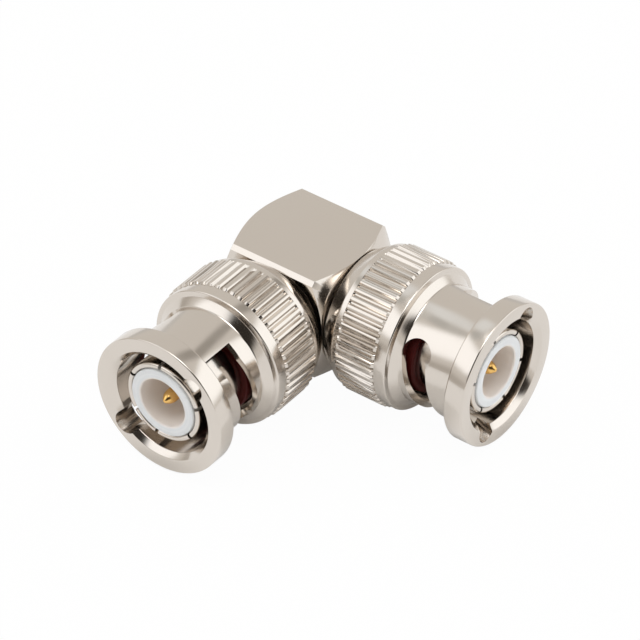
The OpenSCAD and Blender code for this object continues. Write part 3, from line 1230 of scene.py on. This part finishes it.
@dataclass
class InnerHardware:
    """Washers, rings and beads inside a port, which keep their CAD shape, and its wave washers."""

    port: Port
    steel: SpringSteel = field(default_factory=SpringSteel)
    ptfe: TurnedPtfe = field(default_factory=TurnedPtfe)
    steel_parts: tuple[str, ...] = ("flange_washer", "thrust_washer", "retaining_ring")
    strip: float = 0.2
    waves: int = 3
    wave_bore: float = 4.25
    wave_radius: float = 4.83

    def squash(self, washer: Piece) -> None:
        """Gives a wave washer a mesh of its own, and finds where the thrust and flange washers
        stand, which is not used.

        Args:
            washer: The wave washer, in its place.
        """
        start = self.port.reach(self.port.node("thrust_washer"))[1]
        end = self.port.reach(self.port.node("flange_washer"))[0]
        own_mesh(washer)

    def wave_washer(self, number: int) -> Piece:
        """Bends one of the two wave washers.

        Args:
            number: One for the washer by the nut's lip, two for the one by the sleeve's flange.

        Returns:
            The finished washer.
        """
        node = self.port.node(f"wave_washer_{number}")
        low, high = self.port.reach(node)
        half = self.strip / 2
        swing = (high - low) / 2 - half
        phase = math.pi if number == 1 else 0.0
        bm = turn_profile(
            [
                Corner(self.wave_bore, -half),
                Corner(self.wave_radius, -half),
                Corner(self.wave_radius, half),
                Corner(self.wave_bore, half),
            ],
        )
        for vert in bm.verts:
            turn = math.atan2(vert.co.x, vert.co.y)
            vert.co.z += swing * math.cos(self.waves * turn + phase)
        washer = add_object(f"{self.port.value}_wave_spring_{number}", bm)
        place = self.port.matrix @ Matrix.Translation((0, 0, (low + high) / 2))
        dress(washer, place, self.steel.material(), "root", node)
        self.squash(washer)
        return washer

    def build(self) -> None:
        """Builds the wave washers and gives each CAD node its finish."""
        for number in (1, 2):
            self.wave_washer(number)
        finishes = {part: self.steel.material() for part in self.steel_parts}
        finishes["rear_bead"] = self.ptfe.material(self.port)
        for part, finish in finishes.items():
            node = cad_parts[self.port.node(part)]
            for slot in node.material_slots:
                slot.material = finish
            log.info("%s: CAD shape in %s", node.name, finish.name)


@dataclass(frozen=True)
class LightCard:
    """A far rectangular patch of the studio, soft or dark.

    Attributes:
        azimuth: Degrees from -Y towards +X.
        elevation: Degrees above the floor.
        half_width: Half its width in degrees.
        half_height: Half its height in degrees.
        softness: Share of the patch over which its edge fades.
        radiance: Its linear colour times its strength.
        least: Smallest depth in front of the card's centre line, so that nothing behind it counts.
    """

    azimuth: float
    elevation: float
    half_width: float
    half_height: float
    softness: float
    radiance: tuple[float, float, float]
    least: float = 1e-3

    @property
    def facing(self) -> Euler:
        """Turns the direction of the card to +Z and its width to X.

        Returns:
            The turn.
        """
        turn = Matrix.Rotation(math.radians(self.elevation - 90), 3, "X")
        turn = turn @ Matrix.Rotation(math.radians(-self.azimuth), 3, "Z")
        return turn.to_euler()

    def cover(self, tree: Tree, direction: Socket) -> Socket:
        """Finds how much of the card is seen in a direction.

        Args:
            tree: The world's node tree.
            direction: The direction.

        Returns:
            One inside the card, zero outside it.
        """
        local = add_node(
            tree, "ShaderNodeMapping", {"Vector": direction, "Rotation": self.facing},
            vector_type="POINT",
        )
        axes = add_node(tree, "ShaderNodeSeparateXYZ", {0: local.outputs[0]})
        front = add_node(
            tree, "ShaderNodeMath", {0: axes.outputs[2], 1: self.least}, operation="MAXIMUM"
        )
        seen: Socket | None = None
        for axis, half in ((0, self.half_width), (1, self.half_height)):
            edge = math.tan(math.radians(half))
            offset = add_node(
                tree, "ShaderNodeMath", {0: axes.outputs[axis], 1: front.outputs[0]},
                operation="DIVIDE",
            )
            away = add_node(tree, "ShaderNodeMath", {0: offset.outputs[0]}, operation="ABSOLUTE")
            inside = add_node(
                tree, "ShaderNodeMapRange", interpolation_type="SMOOTHSTEP",
                inputs={
                    0: away.outputs[0], 1: edge * (1 - self.softness),
                    2: edge * (1 + self.softness), 3: 1.0, 4: 0.0,
                },
            )
            if seen is None:
                seen = inside.outputs[0]
            else:
                seen = add_node(
                    tree, "ShaderNodeMath", {0: seen, 1: inside.outputs[0]}, operation="MULTIPLY"
                ).outputs[0]
        return seen


@dataclass
class Studio:
    """Pale floor, soft surround with its light cards, and the camera at the photograph's angle.

    Attributes:
        dome: Linear colour of the surround between the cards.
        cards: Patches of light and dark, the later ones over the earlier.
        floor_colour: Colour of the paper.
        floor_size: Side of the paper in metres.
        shaded: Corners, in millimetres, of the boxes round which shade is painted into the floor
            that the metal mirrors; there the paper's own shadow of the legs shows, elsewhere
            painted white.
        shade_core: Distance from a box, in millimetres, up to which the painted shade is full.
        shade_edge: Distance at which the painted shade ends.
        mirror_shaded: Share of painted white paper that the metal mirrors in the full painted
            shade.
        mirror_open: Share of painted white paper that it mirrors on the open floor.
        paper_white: Share of white behind the object; the rest keeps its shadow.
        focal_pixels: Focal length in pixels of the photograph.
        image_pixels: Width of the photograph in pixels.
        sensor: Width of the sensor in millimetres.
        azimuth: Degrees of the camera from -Y towards +X.
        elevation: Degrees of the camera above the floor.
        roll: Degrees that the camera leans.
        distance: Millimetres from the crossing to the camera.
        offset: Millimetres that the camera is moved to its right and up.
        clip: Nearest and farthest metre that the camera sees.
    """

    dome: tuple[float, float, float] = (0.77, 0.745, 0.71)
    cards: tuple[LightCard, ...] = (
        LightCard(-150.0, 2.0, 30.0, 7.0, 0.5, (0.67, 0.66, 0.65)),
        LightCard(-50.0, 3.0, 40.0, 8.0, 0.5, (0.55, 0.52, 0.48)),
        LightCard(36.5, 39.0, 46.0, 27.0, 0.25, (0.035, 0.03, 0.026)),
        LightCard(-72.0, 62.0, 7.0, 8.0, 0.5, (0.6, 0.6, 0.58)),
        LightCard(-108.0, 62.0, 9.0, 9.0, 0.6, (0.95, 0.98, 1.0)),
        LightCard(-40.0, 39.0, 26.0, 17.0, 0.3, (1.42, 1.44, 1.47)),
        LightCard(124.0, 26.0, 33.0, 20.0, 0.28, (1.42, 1.45, 1.47)),
        LightCard(172.0, 51.0, 7.0, 16.0, 0.6, (0.42, 0.40, 0.37)),
        LightCard(40.0, 78.0, 17.0, 17.0, 0.3, (3.4, 3.4, 3.4)),
    )
    floor_colour: str = "#F4F4F3"
    floor_size: float = 4.0
    # Boxes of the painted shade round the legs, in the floor that the metal mirrors.
    shaded: tuple[tuple[Vector, Vector], ...] = (
        (Vector((-7.7, -12.0, 0.0)), Vector((-7.7, 7.7, 0.0))),
        (Vector((-7.7, 7.7, 0.0)), Vector((12.0, 7.7, 0.0))),
        (Vector((-7.7, -6.0, 0.0)), Vector((6.0, 7.7, 0.0))),
    )
    shade_core: float = 3.0
    shade_edge: float = 8.0
    mirror_shaded: float = 0.1
    mirror_open: float = 0.85
    paper_white: float = 0.97
    focal_pixels: float = 4135.053
    image_pixels: float = 640.0
    sensor: float = 36.0
    azimuth: float = 36.5454
    elevation: float = 38.9804
    roll: float = 0.3074
    distance: float = 394.3099
    offset: tuple[float, float] = (1.1379, -3.5684)
    clip: tuple[float, float] = (0.01, 20.0)

    def surround(self) -> None:
        """Makes the world: a grey dome with light and dark cards, and white behind the object."""
        world = bpy.data.worlds.new("studio")
        bpy.context.scene.world = world
        world.use_nodes = True
        tree = world.node_tree
        tree.nodes.clear()
        direction = add_node(tree, "ShaderNodeTexCoord").outputs["Generated"]
        colour: Any = (*self.dome, 1.0)
        for card in self.cards:
            colour = add_node(
                tree, "ShaderNodeMix", data_type="RGBA",
                inputs={0: card.cover(tree, direction), 6: colour, 7: (*card.radiance, 1.0)},
            ).outputs[2]
        path = add_node(tree, "ShaderNodeLightPath")
        seen = add_node(
            tree, "ShaderNodeMix", data_type="RGBA",
            inputs={0: path.outputs["Is Camera Ray"], 6: colour, 7: (1.0, 1.0, 1.0, 1.0)},
        )
        light = add_node(tree, "ShaderNodeBackground", {0: seen.outputs[2], 1: 1.0})
        add_node(tree, "ShaderNodeOutputWorld", {0: light.outputs[0]})

    def open_floor(self, tree: Tree) -> Socket:
        """Finds the painted shade round the two legs in the floor that the metal mirrors.

        Args:
            tree: The floor's node tree.

        Returns:
            Share of painted white that the metal mirrors: high on the open floor, low in the
            painted shade under the legs.
        """
        place = object_place(tree)
        nearest: Any = self.floor_size
        for low, high in self.shaded:
            held = add_node(
                tree, "ShaderNodeVectorMath", {0: place, 1: high * MM}, operation="MINIMUM"
            )
            inside = add_node(
                tree, "ShaderNodeVectorMath", {0: held.outputs[0], 1: low * MM}, operation="MAXIMUM"
            )
            gap = add_node(
                tree, "ShaderNodeVectorMath", {0: place, 1: inside.outputs[0]}, operation="DISTANCE"
            )
            nearest = add_node(
                tree, "ShaderNodeMath", {0: gap.outputs["Value"], 1: nearest}, operation="MINIMUM"
            ).outputs[0]
        return add_node(
            tree, "ShaderNodeMapRange", interpolation_type="SMOOTHSTEP",
            inputs={
                0: nearest, 1: self.shade_core * MM, 2: self.shade_edge * MM,
                3: self.mirror_shaded, 4: self.mirror_open,
            },
        ).outputs[0]

    def floor(self) -> None:
        """Makes the floor: white behind the object, keeping the shadow under it, with painted shade
        round the legs in what the metal mirrors.
        """
        bm = bmesh.new()
        bmesh.ops.create_grid(bm, x_segments=1, y_segments=1, size=self.floor_size / 2)
        floor = add_object("floor", bm)
        material, tree = new_material("matt_white_paper")
        path = add_node(tree, "ShaderNodeLightPath")
        paper = add_node(tree, "ShaderNodeBsdfDiffuse", {0: linear(self.floor_colour)})
        white = add_node(tree, "ShaderNodeEmission", {0: (1.0, 1.0, 1.0, 1.0), 1: 1.0})
        # Painted shade: the metal mirrors painted white paper, less of it in the boxes round the
        # legs, where the paper's own shadow shows.
        mirrored = add_node(
            tree, "ShaderNodeMath", operation="MULTIPLY",
            inputs={0: path.outputs["Is Glossy Ray"], 1: self.open_floor(tree)},
        )
        bright = add_node(
            tree, "ShaderNodeMath", operation="MULTIPLY_ADD",
            inputs={
                0: path.outputs["Is Camera Ray"], 1: self.paper_white, 2: mirrored.outputs[0],
            },
        )
        mix = add_node(
            tree, "ShaderNodeMixShader",
            {0: bright.outputs[0], 1: paper.outputs[0], 2: white.outputs[0]},
        )
        add_node(tree, "ShaderNodeOutputMaterial", {0: mix.outputs[0]})
        floor.data.materials.append(material)

    def camera(self) -> None:
        """Puts the camera where the photograph was taken from."""
        turn, lift, roll = (math.radians(a) for a in (self.azimuth, self.elevation, self.roll))
        back = Vector(
            (math.sin(turn) * math.cos(lift), -math.cos(turn) * math.cos(lift), math.sin(lift))
        )
        level = Vector((math.cos(turn), math.sin(turn), 0.0))
        upright = back.cross(level)
        right = math.cos(roll) * level + math.sin(roll) * upright
        up = back.cross(right)
        place = back * self.distance + right * self.offset[0] + up * self.offset[1]
        data = bpy.data.cameras.new("camera")
        data.sensor_width = self.sensor
        data.lens = self.focal_pixels / self.image_pixels * self.sensor
        data.clip_start, data.clip_end = self.clip
        camera = bpy.data.objects.new("camera", data)
        axes = Matrix((right, up, back)).transposed().to_4x4()
        camera.matrix_world = Matrix.Translation(Port.FRONT.crossing + place * MM) @ axes
        bpy.context.scene.collection.objects.link(camera)
        bpy.context.scene.camera = camera

    def build(self) -> None:
        """Sets up the studio."""
        bpy.context.scene.view_settings.view_transform = "Standard"
        self.surround()
        self.floor()
        self.camera()


def main() -> None:
    """Builds the studio and the adapter's pieces in order."""
    logging.basicConfig(level=logging.INFO, format="%(name)s: %(message)s")
    Studio().build()
    ElbowBlock().build()
    PlugCore(Port.FRONT, slits=(-4, 74, 129, 192, 235, 296)).build()
    PlugCore(Port.SIDE, slits=(-11, 47, 105, 164, 222, 285)).build()
    CouplingNut(Port.FRONT, turn=45.0).build()
    CouplingNut(Port.SIDE, turn=31.0).build()
    for port in Port:
        InnerHardware(port).build()


if __name__ == "__main__":
    main()
